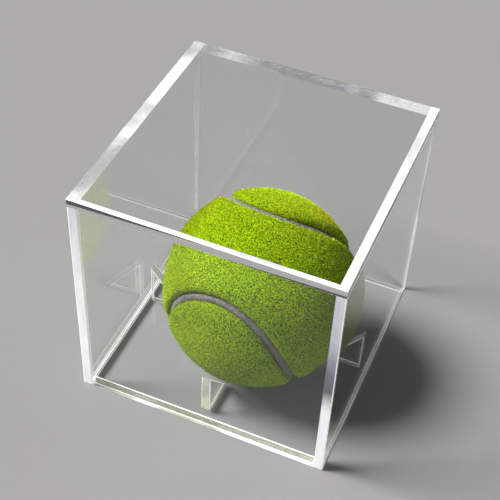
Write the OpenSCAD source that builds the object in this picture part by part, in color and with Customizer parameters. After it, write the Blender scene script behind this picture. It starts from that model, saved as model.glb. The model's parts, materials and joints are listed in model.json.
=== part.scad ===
// Clear cube display case with a lift-off cover, a base with four ball stops, and a felt ball.
// Millimetres, +Z up. The origin is the middle of the underside, and the front wall is at -Y.

/* [Case] */
// Outside width of the cover, along X
case_w = 90; // [88:1:120]
// Outside depth of the cover, along Y
case_d = 92; // [88:1:120]
// Height of the closed case
case_h = 87.5; // [80:0.5:120]
// Thickness of every clear sheet
sheet_t = 3.2; // [2:0.1:4]
// Gap between the base plate and each wall
base_gap = 0.25; // [0.1:0.05:0.5]

/* [Ball stops] */
// Distance from the case's middle to each stop's upright outer edge
stop_reach = 39.5; // [34:0.5:39.5]
// Height of a stop above the base plate
stop_h = 17; // [8:0.5:18]
// Length of a stop along the base plate
stop_l = 13; // [6:0.5:14]

/* [Ball] */
// Outside diameter over the felt
ball_d = 66; // [65.4:0.1:68.6]
// Gap between the ball and the front wall
ball_front_gap = 0.5; // [0.4:0.1:6]
// Gap between the ball and the right wall
ball_right_gap = 3; // [0.4:0.1:6]
// Gap under the ball, which the nap of the felt fills
ball_under_gap = 0.3; // [0.1:0.1:0.5]
// Thickness of the felt covers
felt_t = 3; // [2:0.1:3.5]
// Wall of the hollow rubber core
core_wall = 3.5; // [3:0.1:4]
// Width of the groove between the felt covers
seam_groove = 3; // [2:0.1:4]
// How far the rubber seam lies below the felt's surface
seam_recess = 1.2; // [0.5:0.1:1.8]
// Tilt of the seam pattern about X
ball_roll = 16.5; // [-180:0.5:180]
// Tilt of the seam pattern about Y
ball_pitch = -21; // [-180:0.5:180]
// Turn of the seam pattern about Z
ball_yaw = 35; // [-180:0.5:180]

/* [Hidden] */

wall_h = case_h - sheet_t;
inner_w = case_w - 2 * sheet_t;
inner_d = case_d - 2 * sheet_t;

ball_r = ball_d / 2;
ball_at = [inner_w / 2 - ball_right_gap - ball_r,
           -(inner_d / 2 - ball_front_gap - ball_r),
           sheet_t + ball_under_gap + ball_r];
// Gap between the ball's layers, which keeps their faceted faces apart
layer_gap = 0.2;
core_r = ball_r - felt_t - layer_gap;
felt_inner_r = ball_r - felt_t;
seam_r = ball_r - seam_recess;
seam_strip_w = seam_groove - 2 * layer_gap;

// The seam of a sewn ball on the unit sphere: x = a cos t + b cos 3t, y = a sin t - b sin 3t,
// z = 2 sqrt(ab) sin 2t, with a + b = 1
seam_b = 0.25;
seam_a = 1 - seam_b;
seam_c = 2 * sqrt(seam_a * seam_b);
seam_rings = 168;
felt_rows = 26;
felt_cols = 12;

clear_colour = [0.86, 0.92, 0.93, 0.35];
edge_colour = [0.93, 0.95, 0.96, 0.6];
felt_colour = [0.68, 0.8, 0.05];
rubber_colour = [0.45, 0.45, 0.43];
core_colour = [0.16, 0.16, 0.16];

function unit(v) = v / norm(v);
function seam_point(t) = [seam_a * cos(t) + seam_b * cos(3 * t),
                          seam_a * sin(t) - seam_b * sin(3 * t),
                          seam_c * sin(2 * t)];
function seam_along(t) = unit([-seam_a * sin(t) - 3 * seam_b * sin(3 * t),
                               seam_a * cos(t) - 3 * seam_b * cos(3 * t),
                               2 * seam_c * cos(2 * t)]);
// Sideways on the sphere, towards the felt cover that holds +Z
function seam_side(t) = cross(seam_point(t), seam_along(t));

// A felt cover's edge: the seam moved sideways by half the groove, t from 45 down to -45
function felt_edge(t) = unit(seam_point(t) + seam_groove / 2 / ball_r * seam_side(t));
// The same edge as a turn about the cover's long axis and a rise to the side of it
function edge_turn(p) = atan2(p.x - p.y, p.z * sqrt(2));
function edge_rise(p) = asin((p.x + p.y) / sqrt(2));
function cover_point(turn, rise) =
    let (k = sin(rise), m = cos(rise) * sin(turn), z = cos(rise) * cos(turn))
    [(k + m) / sqrt(2), (k - m) / sqrt(2), z];

// ---- clear sheets ----

module sheet(size, low) {
    color(clear_colour)
        translate(low)
            cube(size);
}

module base_plate() {
    plate_w = inner_w - 2 * base_gap;
    plate_d = inner_d - 2 * base_gap;
    sheet([plate_w, plate_d, sheet_t], [-plate_w / 2, -plate_d / 2, 0]);
}

module top_panel() {
    sheet([case_w, case_d, sheet_t], [-case_w / 2, -case_d / 2, wall_h]);
}

module front_panel() {
    sheet([inner_w, sheet_t, wall_h], [-inner_w / 2, -case_d / 2, 0]);
}

module back_panel() {
    sheet([inner_w, sheet_t, wall_h], [-inner_w / 2, inner_d / 2, 0]);
}

module left_panel() {
    sheet([sheet_t, case_d, wall_h], [-case_w / 2, -case_d / 2, 0]);
}

module right_panel() {
    sheet([sheet_t, case_d, wall_h], [inner_w / 2, -case_d / 2, 0]);
}

// ---- ball stops ----

// One stop, cut from the same sheet as the rest. It stands on the base with its upright edge
// outward, turned round the case's middle
module stop(turn) {
    color(edge_colour)
        rotate([0, 0, turn])
            translate([stop_reach, sheet_t / 2, sheet_t])
                rotate([90, 0, 0])
                    linear_extrude(sheet_t)
                        polygon([[0, 0], [0, stop_h], [-stop_l, 0]]);
}

module stop_right() { stop(0); }
module stop_back() { stop(90); }
module stop_left() { stop(180); }
module stop_front() { stop(270); }

// ---- ball ----

module in_ball_place() {
    translate(ball_at)
        rotate([ball_roll, ball_pitch, ball_yaw])
            children();
}

// Half of the hollow core; the two halves meet face to face at the ball's middle
module core_half(side) {
    color(core_colour)
        in_ball_place()
            rotate([side > 0 ? 0 : 180, 0, 0])
                rotate_extrude($fn = 96)
                    intersection() {
                        difference() {
                            circle(core_r, $fn = 96);
                            circle(core_r - core_wall, $fn = 96);
                        }
                        square(ball_r);
                    }
}

module core_half_a() { core_half(1); }
module core_half_b() { core_half(-1); }

// A dumbbell-shaped cover. Its rows run across it, from one lobe's end to the other's, and
// each row has felt_cols steps. The first and last rows are single points.
module felt_cover() {
    edge = [for (i = [0:felt_rows]) felt_edge(45 - 90 * i / felt_rows)];
    turns = [for (i = [felt_rows - 1:-1:1]) -edge_turn(edge[i]),
             for (i = [0:felt_rows - 1]) edge_turn(edge[i])];
    rises = [for (i = [felt_rows - 1:-1:1]) edge_rise(edge[i]),
             for (i = [0:felt_rows - 1]) edge_rise(edge[i])];
    rows = len(turns);
    width = felt_cols + 1;
    per_skin = rows * width;
    tip_turn = edge_turn(edge[felt_rows]);
    grid = [for (i = [0:rows - 1]) for (j = [0:felt_cols])
                cover_point(turns[i], rises[i] * (2 * j / felt_cols - 1))];
    tips = [cover_point(-tip_turn, 0), cover_point(tip_turn, 0)];
    skin = concat(grid, tips);
    count = per_skin + 2;
    points = concat(skin * ball_r, skin * felt_inner_r);
    // The edge loop, once round the cover
    rim = concat([per_skin],
                 [for (i = [0:rows - 1]) i * width],
                 [per_skin + 1],
                 [for (i = [rows - 1:-1:0]) i * width + felt_cols]);
    tiles = [for (i = [0:rows - 2]) for (j = [0:felt_cols - 1])
                 let (p = i * width + j)
                 each [[p, p + 1, p + width], [p + 1, p + width + 1, p + width]]];
    first_fan = [for (j = [0:felt_cols - 1]) [per_skin, j + 1, j]];
    last_fan = [for (j = [0:felt_cols - 1])
                    let (p = (rows - 1) * width + j)
                    [p, p + 1, per_skin + 1]];
    outer = concat(tiles, first_fan, last_fan);
    inner = [for (f = outer) [f[2] + count, f[1] + count, f[0] + count]];
    rim_n = len(rim);
    wall = [for (i = [0:rim_n - 1])
                let (p = rim[i], q = rim[(i + 1) % rim_n])
                each [[p, q, q + count], [p, q + count, p + count]]];
    polyhedron(points, concat(outer, inner, wall));
}

module felt_panel_a() {
    color(felt_colour)
        in_ball_place()
            felt_cover();
}

// The second cover is the first, turned over about X, which carries the seam onto itself
module felt_panel_b() {
    color(felt_colour)
        in_ball_place()
            rotate([180, 0, 0])
                felt_cover();
}

// A band of rubber swept once round the seam
module seam_strip() {
    corner = [[-1, felt_inner_r], [1, felt_inner_r], [1, seam_r], [-1, seam_r]];
    ring_points = [for (i = [0:seam_rings - 1])
                       let (t = 360 * i / seam_rings, p = seam_point(t), s = seam_side(t))
                       for (c = corner)
                           unit(p + c[0] * seam_strip_w / 2 / ball_r * s) * c[1]];
    total = 4 * seam_rings;
    faces = [for (i = [0:seam_rings - 1]) for (j = [0:3])
                 let (p = 4 * i + j, q = 4 * i + (j + 1) % 4)
                 each [[p, (p + 4) % total, (q + 4) % total], [p, (q + 4) % total, q]]];
    color(rubber_colour)
        in_ball_place()
            polyhedron(ring_points, faces);
}

base_plate();
stop_front();
stop_back();
stop_left();
stop_right();
top_panel();
front_panel();
back_panel();
left_panel();
right_panel();
core_half_a();
core_half_b();
felt_panel_a();
felt_panel_b();
seam_strip();
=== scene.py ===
import json
import math

import bmesh
import bpy
import numpy as np
from mathutils import Euler, Matrix, Vector, kdtree, noise


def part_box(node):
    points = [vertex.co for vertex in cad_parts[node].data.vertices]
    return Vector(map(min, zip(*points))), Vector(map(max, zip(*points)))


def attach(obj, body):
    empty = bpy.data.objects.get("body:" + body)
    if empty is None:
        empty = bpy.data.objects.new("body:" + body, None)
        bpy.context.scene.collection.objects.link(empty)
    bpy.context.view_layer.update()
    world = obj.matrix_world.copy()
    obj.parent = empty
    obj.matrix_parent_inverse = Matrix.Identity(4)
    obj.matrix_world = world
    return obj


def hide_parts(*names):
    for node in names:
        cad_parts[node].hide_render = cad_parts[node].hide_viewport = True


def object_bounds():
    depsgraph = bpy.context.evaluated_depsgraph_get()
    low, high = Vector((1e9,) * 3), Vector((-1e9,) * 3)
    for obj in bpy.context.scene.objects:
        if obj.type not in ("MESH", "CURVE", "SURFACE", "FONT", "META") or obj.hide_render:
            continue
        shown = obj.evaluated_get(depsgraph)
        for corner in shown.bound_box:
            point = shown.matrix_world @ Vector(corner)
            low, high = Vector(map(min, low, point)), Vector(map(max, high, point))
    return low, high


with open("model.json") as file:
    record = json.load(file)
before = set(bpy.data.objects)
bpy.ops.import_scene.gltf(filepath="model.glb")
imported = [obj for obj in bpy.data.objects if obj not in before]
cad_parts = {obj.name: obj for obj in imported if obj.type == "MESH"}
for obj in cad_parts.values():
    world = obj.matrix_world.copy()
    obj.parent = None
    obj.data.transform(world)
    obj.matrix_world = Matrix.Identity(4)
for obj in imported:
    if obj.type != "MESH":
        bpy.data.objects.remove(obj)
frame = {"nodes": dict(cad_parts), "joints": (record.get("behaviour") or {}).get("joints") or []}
cad_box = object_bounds()

MM = 0.001
PLASTIC_IOR = 1.49

joints = {joint["name"]: joint for joint in frame["joints"]}
case_height = cad_box[1][2]
ball_centre = Vector(joints["ball_turn"]["pos_m"])
base_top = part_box("base_plate")[1].z
FELT_NODES = ("felt_panel_a", "felt_panel_b")
ball_radius = max(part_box(node)[1].z for node in FELT_NODES) - ball_centre.z


# ---- camera ----

# The camera looks down from the front right, and leans a little. Its lens and its sensor are in
# millimetres, as Blender takes them
CAMERA_AIM = Vector((-2.08, -1.01, 43.54)) * MM
CAMERA_DISTANCE = 392.42 * MM
CAMERA_TURN = math.radians(20.761)
CAMERA_HEIGHT = math.radians(44.752)
CAMERA_LEAN = math.radians(3.151)
CAMERA_LENS = 82.184
SENSOR_WIDTH = 36
NEAREST_SEEN = 10 * MM


def add_camera():
    ahead = Vector((-math.sin(CAMERA_TURN) * math.cos(CAMERA_HEIGHT),
                    math.cos(CAMERA_TURN) * math.cos(CAMERA_HEIGHT),
                    -math.sin(CAMERA_HEIGHT)))
    level = Vector((math.cos(CAMERA_TURN), math.sin(CAMERA_TURN), 0))
    upright = level.cross(ahead)
    right = level * math.cos(CAMERA_LEAN) + upright * math.sin(CAMERA_LEAN)
    up = upright * math.cos(CAMERA_LEAN) - level * math.sin(CAMERA_LEAN)
    data = bpy.data.cameras.new("camera")
    data.lens = CAMERA_LENS
    data.sensor_width = SENSOR_WIDTH
    data.clip_start = NEAREST_SEEN
    camera = bpy.data.objects.new("camera", data)
    bpy.context.scene.collection.objects.link(camera)
    place = Matrix((right, up, -ahead)).transposed().to_4x4()
    place.translation = CAMERA_AIM - ahead * CAMERA_DISTANCE
    camera.matrix_world = place
    bpy.context.scene.camera = camera


add_camera()


# ---- node helpers ----

def new_material(name):
    material = bpy.data.materials.new(name)
    material.use_nodes = True
    tree = material.node_tree
    tree.nodes.clear()
    output = tree.nodes.new("ShaderNodeOutputMaterial")
    return material, tree, output


def add_node(tree, kind, values=None, links=None, **settings):
    """A node with some settings, some input values by name or index, and some linked inputs."""
    node = tree.nodes.new(kind)
    for name, value in settings.items():
        setattr(node, name, value)
    for name, value in (values or {}).items():
        node.inputs[name].default_value = value
    for name, source in (links or {}).items():
        tree.links.new(source, node.inputs[name])
    return node


def add_ramp(tree, source, stops):
    """A colour ramp with stops of (position, colour)."""
    ramp = add_node(tree, "ShaderNodeValToRGB", links={"Fac": source})
    elements = ramp.color_ramp.elements
    while len(elements) < len(stops):
        elements.new(0.5)
    for element, (position, colour) in zip(elements, stops):
        element.position = position
        element.color = (*colour, 1)
    return ramp.outputs["Color"]


def add_noise(tree, scale, detail=3.0, roughness=0.6, squeeze=(1, 1, 1)):
    """Noise fixed to the piece. scale counts its features per metre, and a squeeze below 1 draws
    them out along that axis."""
    place = add_node(tree, "ShaderNodeTexCoord")
    scaled = add_node(tree, "ShaderNodeMapping", {"Scale": squeeze},
                      {"Vector": place.outputs["Object"]})
    grain = add_node(tree, "ShaderNodeTexNoise",
                     {"Scale": scale, "Detail": detail, "Roughness": roughness},
                     {"Vector": scaled.outputs[0]})
    return grain.outputs["Fac"]


def add_mix(tree, fac, one, other, blend="MIX"):
    """A colour mix. fac, one and other are sockets or plain values."""
    mix = add_node(tree, "ShaderNodeMix", data_type="RGBA", blend_type=blend)
    for index, source in ((0, fac), (6, one), (7, other)):
        if isinstance(source, bpy.types.NodeSocket):
            tree.links.new(source, mix.inputs[index])
        elif index == 0:
            mix.inputs[index].default_value = source
        else:
            mix.inputs[index].default_value = (*source, 1)
    return mix.outputs[2]


def height_up(tree, low, high):
    """How far up a piece a point is, from 0 at low to 1 at high."""
    place = add_node(tree, "ShaderNodeTexCoord")
    split = add_node(tree, "ShaderNodeSeparateXYZ", links={0: place.outputs["Object"]})
    span = add_node(tree, "ShaderNodeMapRange", {"From Min": low, "From Max": high},
                    {"Value": split.outputs["Z"]})
    return span.outputs["Result"]


def add_bump(tree, height, depth, strength):
    bump = add_node(tree, "ShaderNodeBump", {"Strength": strength, "Distance": depth},
                    {"Height": height})
    return bump.outputs["Normal"]


def add_shader(tree, output, values, links=None):
    shader = add_node(tree, "ShaderNodeBsdfPrincipled", values, links)
    tree.links.new(shader.outputs[0], output.inputs["Surface"])


# ---- materials ----

def clear_plastic():
    """Cast acrylic. Lamps and soft bounced light pass straight through it; what is seen bends.
    Its reflections are turned down, so that the pale floor doesn't veil the ball."""
    material, tree, output = new_material("clear_plastic")
    glass = add_node(tree, "ShaderNodeBsdfPrincipled",
                     {"Base Color": (0.99, 0.995, 0.995, 1), "Roughness": 0.0,
                      "IOR": PLASTIC_IOR, "Transmission Weight": 1.0,
                      "Specular Tint": (0.5, 0.5, 0.5, 1)})
    path = add_node(tree, "ShaderNodeLightPath")
    either = add_node(tree, "ShaderNodeMath",
                      links={0: path.outputs["Is Shadow Ray"], 1: path.outputs["Is Diffuse Ray"]},
                      operation="MAXIMUM")
    straight = add_node(tree, "ShaderNodeBsdfTransparent", {"Color": (0.98, 0.985, 0.985, 1)})
    mix = add_node(tree, "ShaderNodeMixShader",
                   links={0: either.outputs[0], 1: glass.outputs[0], 2: straight.outputs[0]})
    tree.links.new(mix.outputs[0], output.inputs["Surface"])
    return material


def cut_edge(name, tones, grain_dark, painted_glow, squeeze):
    """A satin edge, bright by a painted glow. tones grade it from the floor, 0, to the case's top,
    1, in painted light and shade.
    """
    material, tree, output = new_material(name)
    tone = add_ramp(tree, height_up(tree, 0, case_height), tones)
    grain = add_noise(tree, 1400, 4, 0.65, squeeze)
    marks = add_ramp(tree, grain, [(0.36, grain_dark), (0.58, (1, 1, 1))])
    colour = add_mix(tree, 1.0, tone, marks, "MULTIPLY")
    # The emission is a painted glow, standing in for light carried inside the sheet; the edge is no
    # lamp.
    add_shader(tree, output,
               {"Roughness": 0.3, "IOR": PLASTIC_IOR, "Emission Strength": painted_glow},
               {"Base Color": colour, "Emission Color": colour,
                "Normal": add_bump(tree, grain, 0.04 * MM, 0.4)})
    return material


def bonded_edge(name, tones, grain_dark, painted_glow):
    """A sheet's end that is bonded or stood on, with cloudy grey streaks; its brightness is a
    painted glow.
    """
    material, tree, output = new_material(name)
    cloud = add_noise(tree, 55, 2, 0.5)
    tone = add_ramp(tree, cloud, tones)
    grain = add_noise(tree, 1500, 5, 0.7)
    marks = add_ramp(tree, grain, [(0.34, grain_dark), (0.56, (1, 1, 1))])
    colour = add_mix(tree, 1.0, tone, marks, "MULTIPLY")
    # The emission is a painted glow.
    add_shader(tree, output,
               {"Roughness": 0.35, "IOR": PLASTIC_IOR, "Emission Strength": painted_glow},
               {"Base Color": colour, "Emission Color": colour,
                "Normal": add_bump(tree, grain, 0.03 * MM, 0.4)})
    return material


def arris_material():
    """The fine chamfer along a sheet's corners, drawn as a thin bright line by a painted glow."""
    material, tree, output = new_material("arris")
    grain = add_noise(tree, 800, 3)
    colour = add_ramp(tree, grain, [(0.3, (0.78, 0.8, 0.84)), (0.55, (0.98, 0.99, 1.0))])
    # The emission is a painted glow.
    add_shader(tree, output,
               {"Roughness": 0.2, "IOR": PLASTIC_IOR, "Emission Strength": 0.5},
               {"Base Color": colour, "Emission Color": colour})
    return material


def stop_edge_material():
    """The sawn sides of a stop: satin, half clear, graded up its height in painted light and shade,
    with a painted lime reflection of the ball at its bright foot.
    """
    material, tree, output = new_material("stop_edge")
    low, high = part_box("stop_front")
    # Painted light and shade up the sides, with a painted lime reflection of the ball at the foot.
    painted_grade = add_ramp(tree, height_up(tree, low.z, high.z),
                     [(0.0, (1.0, 1.0, 0.74)), (0.3, (0.93, 0.95, 0.78)), (0.7, (0.8, 0.82, 0.79)),
                      (1.0, (0.97, 0.98, 0.98))])
    grain = add_noise(tree, 900, 4, 0.6, (1, 1, 0.35))
    streaks = add_ramp(tree, grain, [(0.36, (0.7, 0.72, 0.66)), (0.58, (1, 1, 1))])
    colour = add_mix(tree, 1.0, painted_grade, streaks, "MULTIPLY")
    add_shader(tree, output,
               {"Roughness": 0.22, "IOR": PLASTIC_IOR, "Transmission Weight": 0.5},
               {"Base Color": colour, "Normal": add_bump(tree, grain, 0.04 * MM, 0.5)})
    return material


def felt_material():
    """The felt under the nap: matted lime fibre, with painted shade in the gaps between fibres."""
    material, tree, output = new_material("felt")
    matting = add_noise(tree, 2300, 2, 0.6)
    # The darkest stops are painted shade between the fibres.
    painted_shade_gaps = add_ramp(tree, matting, [(0.38, (0.035, 0.06, 0.0)), (0.47, (0.14, 0.25, 0.0)),
                                    (0.6, (0.36, 0.56, 0.0))])
    patches = add_noise(tree, 42, 2, 0.5)
    warmth = add_ramp(tree, patches, [(0.5, (1.0, 1.0, 1.0)), (0.75, (1.2, 0.98, 1.0))])
    colour = add_mix(tree, 1.0, painted_shade_gaps, warmth, "MULTIPLY")
    add_shader(tree, output,
               {"Roughness": 1.0, "Sheen Weight": 0.35, "Sheen Roughness": 0.5,
                "Sheen Tint": (0.75, 0.85, 0.05, 1), "Specular IOR Level": 0.05},
               {"Base Color": colour, "Normal": add_bump(tree, matting, 0.35 * MM, 0.9)})
    return material


def nap_material(index, colour):
    """One tone of the felt's standing fibres. Each fibre takes one of the tones."""
    material, tree, output = new_material(f"nap_tone_{index}")
    add_shader(tree, output,
               {"Base Color": (*colour, 1), "Roughness": 0.9, "Specular IOR Level": 0.05,
                "Sheen Weight": 0.25, "Sheen Roughness": 0.5, "Sheen Tint": (0.8, 0.9, 0.05, 1)})
    return material


def rubber_material(name, dark, light):
    """Matt moulded rubber with a fine dusty grain."""
    material, tree, output = new_material(name)
    grain = add_noise(tree, 2200, 4, 0.7)
    cloud = add_noise(tree, 120, 2)
    fine = add_ramp(tree, grain, [(0.36, dark), (0.62, light)])
    shade = add_ramp(tree, cloud, [(0.35, (0.8, 0.8, 0.8)), (0.65, (1.1, 1.1, 1.08))])
    colour = add_mix(tree, 1.0, fine, shade, "MULTIPLY")
    rough = add_ramp(tree, grain, [(0.3, (0.7, 0.7, 0.7)), (0.7, (0.9, 0.9, 0.9))])
    add_shader(tree, output, {"Specular IOR Level": 0.3},
               {"Base Color": colour, "Roughness": rough,
                "Normal": add_bump(tree, grain, 0.08 * MM, 0.6)})
    return material


def floor_material():
    material, tree, output = new_material("floor")
    add_shader(tree, output, {"Base Color": (0.235, 0.235, 0.24, 1), "Roughness": 0.7,
                              "Specular IOR Level": 0.2})
    return material


def link_mesh(name, mesh):
    piece = bpy.data.objects.new(name, mesh)
    bpy.context.scene.collection.objects.link(piece)
    return piece


# ---- clear sheets ----

CLEAR = clear_plastic()
ARRIS = arris_material()
ARRIS_SIZE = 0.28 * MM
# A face counts as square to an axis when its normal points along it at least this much
SQUARE_ON = 0.999
# Neighbouring sheets stay this much short of touching, so that no two faces share a plane
SHEET_EASE = 0.01 * MM
# WHITE is the frosted edge's own pale tone; LILAC is a painted lilac-grey tint of reflected light.
WHITE = (0.97, 0.98, 1.0)
LILAC = (0.55, 0.55, 0.62)
# The left ends grade from white near the floor to grey at the top: painted light and shade along the
# edge.
LEFT_END = cut_edge("left_end", [(0.0, WHITE), (0.6, WHITE), (1.0, (0.66, 0.67, 0.7))],
                    (0.85, 0.85, 0.87), 0.32, (1, 1, 0.1))
# The right ends carry a painted dark band halfway up and a painted lilac tint above it: painted
# shade and painted reflection.
RIGHT_END = cut_edge("right_end",
                     [(0.0, WHITE), (0.36, WHITE), (0.47, (0.13, 0.13, 0.15)),
                      (0.56, (0.17, 0.17, 0.2)), (0.75, LILAC), (1.0, (0.62, 0.62, 0.68))],
                     (0.85, 0.85, 0.87), 0.32, (1, 1, 0.1))
# The base's edges are tinted yellow-green as a painted reflection of the ball, and glow as painted
# light.
BASE_EDGE = cut_edge("base_edge", [(0.0, (0.44, 0.45, 0.34)), (1.0, (0.44, 0.45, 0.34))],
                     (0.5, 0.48, 0.36), 0.16, (0.25, 0.25, 1))
# These ends are copies of one material, each side made brighter or darker by its own tones and glow:
# painted light and shade, the back the darkest and the front the brightest.
LOWER_END = bonded_edge("lower_end", [(0.4, (0.34, 0.34, 0.28)), (0.56, (0.8, 0.81, 0.84))],
                        (0.7, 0.7, 0.7), 0.3)
BOND_RIGHT = bonded_edge("bond_right", [(0.38, (0.56, 0.56, 0.57)), (0.56, (0.82, 0.82, 0.84))],
                         (0.8, 0.8, 0.81), 0.12)
BOND_LEFT = bonded_edge("bond_left", [(0.38, (0.36, 0.36, 0.37)), (0.58, (0.85, 0.85, 0.88))],
                        (0.66, 0.66, 0.68), 0.1)
BOND_BACK = bonded_edge("bond_back", [(0.38, (0.2, 0.2, 0.21)), (0.6, (0.52, 0.52, 0.54))],
                        (0.6, 0.6, 0.62), 0.08)
BOND_FRONT = bonded_edge("bond_front", [(0.4, LILAC), (0.6, WHITE)], (0.8, 0.8, 0.82), 0.12)

# What covers each narrow side of a sheet, by (axis, direction). Sides left out are polished.
# Each cover brings its own painted glow, and painted light and shade.
NARROW_SIDES = {
    "base_plate": {(0, -1): BASE_EDGE, (0, 1): BASE_EDGE, (1, -1): BASE_EDGE, (1, 1): BASE_EDGE},
    "top_panel": {},
    "front_panel": {(2, -1): LOWER_END, (2, 1): BOND_FRONT, (0, -1): LEFT_END, (0, 1): LEFT_END},
    "back_panel": {(2, -1): LOWER_END, (2, 1): BOND_BACK},
    "left_panel": {(2, -1): LOWER_END, (2, 1): BOND_LEFT, (1, -1): LEFT_END, (1, 1): LEFT_END},
    "right_panel": {(2, -1): LOWER_END, (2, 1): BOND_RIGHT, (1, -1): RIGHT_END, (1, 1): RIGHT_END},
}


def is_chamfered(node, low, high, middle):
    """True for an edge whose corner was taken off. The edges at a bonded joint are square,
    apart from the outer edge of the right wall's upper end, which shows as a bright line drawn by
    the arris's painted glow. The top sheet has lost only the upper corners at its front and right."""
    def at(axis, corner):
        return abs(middle[axis] - corner[axis]) < 2 * SHEET_EASE
    if node == "base_plate":
        return True
    if node == "top_panel":
        return at(2, high) and (at(0, high) or at(1, low))
    side_wall = node in ("left_panel", "right_panel")
    if at(2, high):
        return node == "right_panel" and at(0, high)
    return at(2, low) or (side_wall and abs(middle.x) > abs(low.x + high.x) / 2)


def clear_sheet(node):
    """A sheet with its free corners taken off, and a material for each kind of side."""
    low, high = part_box(node)
    bm = bmesh.new()
    bmesh.ops.create_cube(bm, size=1)
    for vertex in bm.verts:
        for axis in range(3):
            vertex.co[axis] = (low[axis] + SHEET_EASE if vertex.co[axis] < 0
                               else high[axis] - SHEET_EASE)
    free = [edge for edge in bm.edges
            if is_chamfered(node, low, high, (edge.verts[0].co + edge.verts[1].co) / 2)]
    bmesh.ops.bevel(bm, geom=free, offset=ARRIS_SIZE, segments=2, profile=0.5, affect="EDGES")
    mesh = bpy.data.meshes.new(node + "_sheet")
    sides = NARROW_SIDES[node]
    slots = [CLEAR, ARRIS] + list(dict.fromkeys(sides.values()))
    for face in bm.faces:
        axis = max(range(3), key=lambda a: abs(face.normal[a]))
        way = 1 if face.normal[axis] > 0 else -1
        if abs(face.normal[axis]) < SQUARE_ON:
            face.material_index = 1
        else:
            face.material_index = slots.index(sides.get((axis, way), CLEAR))
    bm.to_mesh(mesh)
    bm.free()
    for material in slots:
        mesh.materials.append(material)
    return link_mesh(node + "_sheet", mesh)


for node in NARROW_SIDES:
    piece = clear_sheet(node)
    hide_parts(node)
    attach(piece, "base" if node == "base_plate" else "cover")


# ---- ball stops ----

STOP_EDGE = stop_edge_material()
STOP_ARRIS = 0.25 * MM


def stop_wedge(node):
    """A three-sided wedge, upright on its outer side. It fills its node's box."""
    low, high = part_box(node)
    middle = (low + high) / 2
    out = 0 if high.x - low.x > high.y - low.y else 1
    side = 1 - out
    outer, inner = (high[out], low[out]) if middle[out] > 0 else (low[out], high[out])
    foot = low.z + SHEET_EASE
    bm = bmesh.new()
    ends = []
    for across in (low[side], high[side]):
        corners = []
        for along, height in ((outer, foot), (outer, high.z), (inner, foot)):
            place = Vector((0, 0, height))
            place[out] = along
            place[side] = across
            corners.append(bm.verts.new(place))
        ends.append(corners)
        bm.faces.new(corners)
    for i in range(3):
        j = (i + 1) % 3
        bm.faces.new((ends[0][i], ends[0][j], ends[1][j], ends[1][i]))
    bmesh.ops.recalc_face_normals(bm, faces=list(bm.faces))
    bmesh.ops.bevel(bm, geom=list(bm.edges), offset=STOP_ARRIS, segments=2, profile=0.5,
                    affect="EDGES")
    for face in bm.faces:
        turned = abs(face.normal[side])
        if turned > SQUARE_ON:
            face.material_index = 0
        elif turned < 1 - SQUARE_ON:
            face.material_index = 1
        else:
            face.material_index = 2
    mesh = bpy.data.meshes.new(node + "_wedge")
    bm.to_mesh(mesh)
    bm.free()
    for material in (CLEAR, STOP_EDGE, ARRIS):
        mesh.materials.append(material)
    return link_mesh(node + "_wedge", mesh)


for node in ("stop_front", "stop_back", "stop_left", "stop_right"):
    piece = stop_wedge(node)
    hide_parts(node)
    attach(piece, "base")


# ---- ball ----

# The seam of a sewn ball on the unit sphere, as in the CAD: x = a cos t + b cos 3t,
# y = a sin t - b sin 3t, z = 2 sqrt(ab) sin 2t, with a + b = 1
SEAM_B = 0.25
SEAM_A = 1 - SEAM_B
SEAM_C = 2 * math.sqrt(SEAM_A * SEAM_B)
# The seam's tilt, the groove's width and the felt's thickness are the CAD's too
BALL_TILT = Euler([math.radians(a) for a in (16.5, -21, 35)], "XYZ").to_matrix()
SEAM_GROOVE = 3 * MM
FELT_THICKNESS = 3 * MM
FELT_INNER = ball_radius - FELT_THICKNESS
# The skin that the nap stands on
SKIN_RADIUS = ball_radius - 0.45 * MM
# The skin swells a little beside the seam, then rounds off down into the groove
SWELL = 0.2 * MM
SWELL_AT = 3.2 * MM
SWELL_REACH = 1.6 * MM
ROUND_WIDTH = 1.8 * MM
ROUND_DROP = 1.7 * MM
COVER_STEPS = 150
COVER_COLUMNS = 96
# How far the columns crowd towards a cover's edges, where the skin rounds off
EDGE_CROWDING = 0.45
# The skin's unevenness: (height, about how many lumps along the ball's radius, seed)
LUMPS = [(0.09 * MM, 26, 3.0), (0.07 * MM, 60, 9.0)]
SEAM_SAMPLES = 1200


def units(v):
    return v / np.linalg.norm(v, axis=-1, keepdims=True)


def seam_point(t):
    return np.stack([SEAM_A * np.cos(t) + SEAM_B * np.cos(3 * t),
                     SEAM_A * np.sin(t) - SEAM_B * np.sin(3 * t),
                     SEAM_C * np.sin(2 * t)], axis=-1)


def seam_along(t):
    return units(np.stack([-SEAM_A * np.sin(t) - 3 * SEAM_B * np.sin(3 * t),
                           SEAM_A * np.cos(t) - 3 * SEAM_B * np.cos(3 * t),
                           2 * SEAM_C * np.cos(2 * t)], axis=-1))


def seam_side(t):
    """Sideways on the sphere, towards the cover that holds +Z."""
    return np.cross(seam_point(t), seam_along(t))


def place_on_ball(points):
    """Points from the ball's own frame, in metres from its centre, to the case's frame."""
    return points @ np.array(BALL_TILT).T + np.array(ball_centre)


SEAM_T = np.linspace(0, 2 * math.pi, SEAM_SAMPLES, endpoint=False)
seam_tree = kdtree.KDTree(len(SEAM_T))
for index, point in enumerate(seam_point(SEAM_T)):
    seam_tree.insert(point, index)
seam_tree.balance()


def from_seam(points):
    """For unit points: the distance to the seam's middle line in metres, and its nearest index."""
    found = [seam_tree.find(point) for point in points]
    return np.array([f[2] for f in found]) * ball_radius, np.array([f[1] for f in found])


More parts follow.
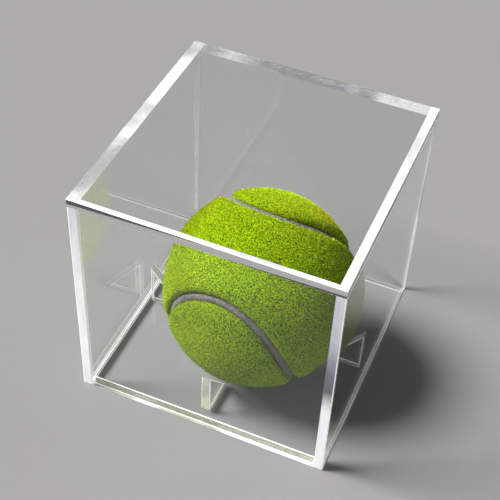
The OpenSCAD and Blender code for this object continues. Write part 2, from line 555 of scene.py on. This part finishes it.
def skin_height(distance):
    """The skin's radius at a distance from the groove's edge."""
    rounding = np.clip(1 - distance / ROUND_WIDTH, 0, 1)
    drop = ROUND_DROP * (1 - np.sqrt(1 - rounding ** 2))
    swell = SWELL * np.exp(-((distance - SWELL_AT) / SWELL_REACH) ** 2)
    return SKIN_RADIUS + swell - drop


def clumps(points, scale, seed):
    """Smooth noise from -1 to 1 at unit points on the ball."""
    shift = Vector((seed, 0, 0))
    return np.array([noise.noise(Vector(point) * scale + shift) for point in points])


def on_sphere(turn, rise):
    """Unit points at a turn about cover A's long axis and a rise to the side of it."""
    k = np.sin(rise) + 0 * turn
    m = np.cos(rise) * np.sin(turn)
    z = np.cos(rise) * np.cos(turn)
    return np.stack([(k + m) / math.sqrt(2), (k - m) / math.sqrt(2), z], axis=-1)


def cover_grid():
    """Unit points over cover A in rows across it, and the two tips at its ends."""
    t = np.radians(np.linspace(45, -45, COVER_STEPS + 1))
    edge = units(seam_point(t) + SEAM_GROOVE / 2 / ball_radius * seam_side(t))
    turn = np.arctan2(edge[:, 0] - edge[:, 1], edge[:, 2] * math.sqrt(2))
    rise = np.arcsin((edge[:, 0] + edge[:, 1]) / math.sqrt(2))
    turns = np.concatenate([-turn[-2:0:-1], turn[:-1]])[:, None]
    rises = np.concatenate([rise[-2:0:-1], rise[:-1]])[:, None]
    u = np.linspace(-1, 1, COVER_COLUMNS + 1)[None, :]
    rises = rises * ((1 - EDGE_CROWDING) * u + EDGE_CROWDING * np.sin(u * math.pi / 2))
    grid = on_sphere(turns, rises).reshape(-1, 3)
    tips = on_sphere(np.array([-turn[-1], turn[-1]]), np.zeros(2))
    return grid, tips


def cover_faces(rows):
    """Faces over the outer skin, the inner skin and the edge between them."""
    width = COVER_COLUMNS + 1
    tip = rows * width
    count = tip + 2
    outer = [(p, p + 1, p + width + 1, p + width)
             for i in range(rows - 1) for p in range(i * width, i * width + COVER_COLUMNS)]
    outer += [(tip, j + 1, j) for j in range(COVER_COLUMNS)]
    last = (rows - 1) * width
    outer += [(last + j, last + j + 1, tip + 1) for j in range(COVER_COLUMNS)]
    inner = [tuple(v + count for v in reversed(face)) for face in outer]
    rim = ([tip] + [i * width for i in range(rows)] + [tip + 1]
           + [i * width + COVER_COLUMNS for i in range(rows - 1, -1, -1)])
    wall = [(p, q, q + count, p + count) for p, q in zip(rim, rim[1:] + rim[:1])]
    return outer + inner + wall


def felt_cover(name, turned, material):
    """Cover A, or the same one turned over about X, which makes it cover B."""
    grid, tips = cover_grid()
    skin = np.concatenate([grid, tips])
    distance, _ = from_seam(skin)
    height = skin_height(np.maximum(distance - SEAM_GROOVE / 2, 0))
    height += sum(lump * clumps(skin, scale, seed) for lump, scale, seed in LUMPS)
    points = np.concatenate([skin * height[:, None], skin * FELT_INNER])
    if turned:
        points = points * (1, -1, -1)
    mesh = bpy.data.meshes.new(name)
    mesh.from_pydata(place_on_ball(points).tolist(), [], cover_faces(2 * COVER_STEPS - 1))
    mesh.shade_smooth()
    mesh.materials.append(material)
    return link_mesh(name, mesh)


# Standing fibres, as slim three-sided spikes
FIBRES = 98000
FIBRE_LONGEST = 1.15 * MM
FIBRE_SHORTEST = 0.6 * MM
FIBRE_HALF_WIDTH = 0.06 * MM
NAP_SEED = 41
# Each fibre is cut off at a height of its own, which is this far under NAP_TOP at most
NAP_TOP = ball_radius + 0.42 * MM
NAP_TOP_SPREAD = 0.45 * MM
NAP_ROOT_DEPTH = 0.12 * MM
# How far over the groove the outermost fibres stand
NAP_OVERHANG = 0.1 * MM
# Neighbours lean the same way, which gathers them into tufts; each strays a little from that
TUFT_LEAN = 2.2
TUFT_SCALE = 30
STRAY_LEAN = 0.45
# How much a fibre stands up against its lean, at least and at most, and its least rise
UPRIGHT = (0.5, 1.1)
LEAST_RISE = 0.25
# The fibres under the ball lie flat, this high
NAP_FLOOR = base_top + 0.04 * MM
# The darkest tone is painted shade among the tufts; the others are the fibres' own spread of tone.
NAP_TONES = [(0.04, 0.07, 0.0), (0.14, 0.26, 0.0), (0.3, 0.52, 0.0),
             (0.46, 0.74, 0.0), (0.7, 0.95, 0.02)]
NAP_SHARES = [0.24, 0.23, 0.22, 0.19, 0.12]
# Where the fibres' tone changes: a tone, a direction from the ball's centre, its reach in radians,
# and the share of fibres that have it. The covers are warmer yellow in places, and the upper lobe
# has more of the brightest tone, as painted light where more light falls on it
WARM_TONE = (0.72, 0.48, 0.0)
WARM, PAINTED_LIGHT = len(NAP_TONES), len(NAP_TONES) - 1
PATCHES = [(PAINTED_LIGHT, (0.1, 0.55, 0.83), 0.55, 0.8), (WARM, (-0.35, -0.2, 0.92), 0.7, 0.26),
           (WARM, (-0.71, 0.32, 0.63), 0.34, 0.55), (WARM, (0.49, 0.47, 0.73), 0.17, 0.6)]


def fibre_spikes(rng, roots, distance):
    """Each fibre's foot, and its four corners: three round the foot, then the tip."""
    count = len(roots)
    height = skin_height(np.maximum(distance - SEAM_GROOVE / 2, 0)) - NAP_ROOT_DEPTH
    lean = np.stack([clumps(roots, TUFT_SCALE, seed) for seed in (1.0, 4.0, 7.0)], axis=-1)
    lean = lean * TUFT_LEAN + rng.normal(scale=STRAY_LEAN, size=(count, 3))
    way = units(roots * rng.uniform(*UPRIGHT, (count, 1)) + lean)
    out = np.einsum("ij,ij->i", way, roots)[:, None]
    way = units(way + roots * np.maximum(LEAST_RISE - out, 0))
    length = rng.uniform(FIBRE_SHORTEST, FIBRE_LONGEST, (count, 1))
    feet = roots * height[:, None]
    tip = feet + way * length
    reach = np.linalg.norm(tip, axis=1, keepdims=True)
    cap = NAP_TOP - rng.uniform(0, NAP_TOP_SPREAD, (count, 1))
    tip *= np.minimum(1, cap / reach)
    across = units(np.cross(way, rng.normal(size=(count, 3))))
    other = np.cross(way, across)
    corners = [feet + FIBRE_HALF_WIDTH * (math.cos(a) * across + math.sin(a) * other)
               for a in (0, 2 * math.pi / 3, 4 * math.pi / 3)]
    return feet, np.stack(corners + [tip], axis=1)


def fibre_tones(rng, feet):
    """A tone for each fibre, drawn by the tones' shares and then changed in the patches."""
    count = len(feet)
    tone = rng.choice(len(NAP_TONES), size=count, p=NAP_SHARES)
    outward = units(place_on_ball(feet) - np.array(ball_centre))
    for dye, middle, spread, share in PATCHES:
        angle = np.arccos(np.clip(outward @ units(np.array(middle)), -1, 1))
        tone[rng.uniform(size=count) < share * np.exp(-(angle / spread) ** 2)] = dye
    return tone


def nap(names, materials):
    """The fibres of both covers, made together and parted by which side of the seam they are on."""
    rng = np.random.default_rng(NAP_SEED)
    roots = units(rng.normal(size=(FIBRES, 3)))
    distance, nearest = from_seam(roots)
    kept = distance > SEAM_GROOVE / 2 - NAP_OVERHANG
    roots, distance, nearest = roots[kept], distance[kept], nearest[kept]
    t = SEAM_T[nearest]
    inward = np.einsum("ij,ij->i", roots - seam_point(t), seam_side(t))
    feet, spikes = fibre_spikes(rng, roots, distance)
    tone = fibre_tones(rng, feet)
    pieces = []
    for name, chosen in zip(names, (inward > 0, inward <= 0)):
        points = place_on_ball(spikes[chosen].reshape(-1, 3))
        points[:, 2] = np.maximum(points[:, 2], NAP_FLOOR)
        first = 4 * np.arange(chosen.sum())[:, None, None]
        faces = first + np.array([[0, 2, 1], [0, 1, 3], [1, 2, 3], [2, 0, 3]])[None]
        mesh = bpy.data.meshes.new(name)
        mesh.from_pydata(points.tolist(), [], faces.reshape(-1, 3).tolist())
        mesh.polygons.foreach_set("material_index", np.repeat(tone[chosen], 4).astype(np.int32))
        for material in materials:
            mesh.materials.append(material)
        pieces.append(link_mesh(name, mesh))
    return pieces


# The seam's section: half its width, and its height at the middle and at the sides
SEAM_HALF = 1.45 * MM
SEAM_CROWN = ball_radius - 2.0 * MM
SEAM_SHOULDER = ball_radius - 2.6 * MM
SEAM_SECTION_STEPS = 12
SEAM_RINGS = 720


def seam_band(name, material):
    """Rubber swept once round the seam, a little crowned, on the core under the groove."""
    t = np.linspace(0, 2 * math.pi, SEAM_RINGS, endpoint=False)
    offsets = np.linspace(-1, 1, SEAM_SECTION_STEPS + 1)
    section = [(s, SEAM_SHOULDER + (SEAM_CROWN - SEAM_SHOULDER) * (1 - s ** 2)) for s in offsets]
    section += [(1, FELT_INNER), (-1, FELT_INNER)]
    middle, side = seam_point(t), seam_side(t)
    rings = np.stack([units(middle + s * SEAM_HALF / ball_radius * side) * r for s, r in section],
                     axis=1)
    around = len(section)
    faces = []
    for i in range(SEAM_RINGS):
        j = (i + 1) % SEAM_RINGS
        for k in range(around):
            m = (k + 1) % around
            faces.append((i * around + k, j * around + k, j * around + m, i * around + m))
    mesh = bpy.data.meshes.new(name)
    mesh.from_pydata(place_on_ball(rings.reshape(-1, 3)).tolist(), [], faces)
    mesh.shade_smooth()
    mesh.materials.append(material)
    return link_mesh(name, mesh)


FELT = felt_material()
for node, turned in zip(FELT_NODES, (False, True)):
    piece = felt_cover(node + "_cover", turned, FELT)
    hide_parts(node)
    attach(piece, "ball")

nap_materials = [nap_material(i, colour) for i, colour in enumerate(NAP_TONES + [WARM_TONE])]
for piece in nap(("nap_a", "nap_b"), nap_materials):
    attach(piece, "ball")

seam = seam_band("seam_band", rubber_material("seam_rubber", (0.06, 0.06, 0.058),
                                              (0.29, 0.28, 0.265)))
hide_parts("seam_strip")
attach(seam, "ball")

CORE = rubber_material("core_rubber", (0.01, 0.01, 0.01), (0.03, 0.03, 0.03))
for node in ("core_half_a", "core_half_b"):
    frame["nodes"][node].data.materials.clear()
    frame["nodes"][node].data.materials.append(CORE)


# ---- floor and light ----

FLOOR_SIZE = 6
# The floor lies a hair under the case, so that no two faces share a plane
FLOOR_DROP = 0.05 * MM
LAMP_AIM = Vector((0, 0, 40)) * MM
SUN_SPREAD = math.radians(22)
ROUND_LIGHT = 0.09


def add_floor():
    bpy.ops.mesh.primitive_plane_add(size=FLOOR_SIZE, location=(0, 0, -FLOOR_DROP))
    floor = bpy.context.object
    floor.name = "floor"
    floor.data.materials.append(floor_material())


def add_lamp(name, place, power, colour=(1, 1, 1), size=None):
    """A soft square lamp, or with no size a distant soft lamp that lights the whole floor."""
    data = bpy.data.lights.new(name, "AREA" if size else "SUN")
    if size:
        data.shape = "SQUARE"
        data.size = size
    else:
        data.angle = SUN_SPREAD
    data.energy = power
    data.color = colour
    lamp = bpy.data.objects.new(name, data)
    bpy.context.scene.collection.objects.link(lamp)
    lamp.location = place
    towards = LAMP_AIM - Vector(place)
    lamp.rotation_euler = towards.to_track_quat("-Z", "Y").to_euler()


def add_world():
    """A dim even light from all round. Seen directly, the part near the horizon is as pale as
    the floor."""
    world = bpy.data.worlds.new("world")
    world.use_nodes = True
    tree = world.node_tree
    path = add_node(tree, "ShaderNodeLightPath")
    seen = add_node(tree, "ShaderNodeMath", operation="MAXIMUM",
                    links={0: path.outputs["Is Camera Ray"], 1: path.outputs["Is Transmission Ray"]})
    place = add_node(tree, "ShaderNodeTexCoord")
    rise = add_node(tree, "ShaderNodeSeparateXYZ", links={0: place.outputs["Generated"]})
    pale = add_ramp(tree, rise.outputs["Z"], [(0.3, (0.36, 0.36, 0.36)), (0.55, (0, 0, 0))])
    shown = add_node(tree, "ShaderNodeMath", operation="MULTIPLY",
                     links={0: seen.outputs[0], 1: pale})
    strength = add_node(tree, "ShaderNodeMath", {1: ROUND_LIGHT}, {0: shown.outputs[0]},
                        operation="ADD")
    backdrop = tree.nodes["Background"]
    backdrop.inputs["Color"].default_value = (0.93, 0.925, 0.915, 1)
    tree.links.new(strength.outputs[0], backdrop.inputs["Strength"])
    bpy.context.scene.world = world


add_floor()
add_lamp("key_lamp", (-0.70, -0.17, 0.86), 6.7, (1.0, 0.985, 0.95))
add_lamp("fill_lamp", (0.15, -0.75, 0.4), 0.6, (0.95, 0.97, 1.0), 0.5)
add_lamp("rim_lamp", (0.6, 0.45, 0.3), 0.8, size=0.4)
add_world()

# Light crosses and bounces inside many clear sheets before it reaches the camera
SHEET_BOUNCES = 32

cycles = bpy.context.scene.cycles
cycles.max_bounces = SHEET_BOUNCES + 8
cycles.transmission_bounces = SHEET_BOUNCES
cycles.glossy_bounces = SHEET_BOUNCES
cycles.transparent_max_bounces = SHEET_BOUNCES
cycles.caustics_refractive = False
cycles.caustics_reflective = False
bpy.context.scene.view_settings.view_transform = "Standard"
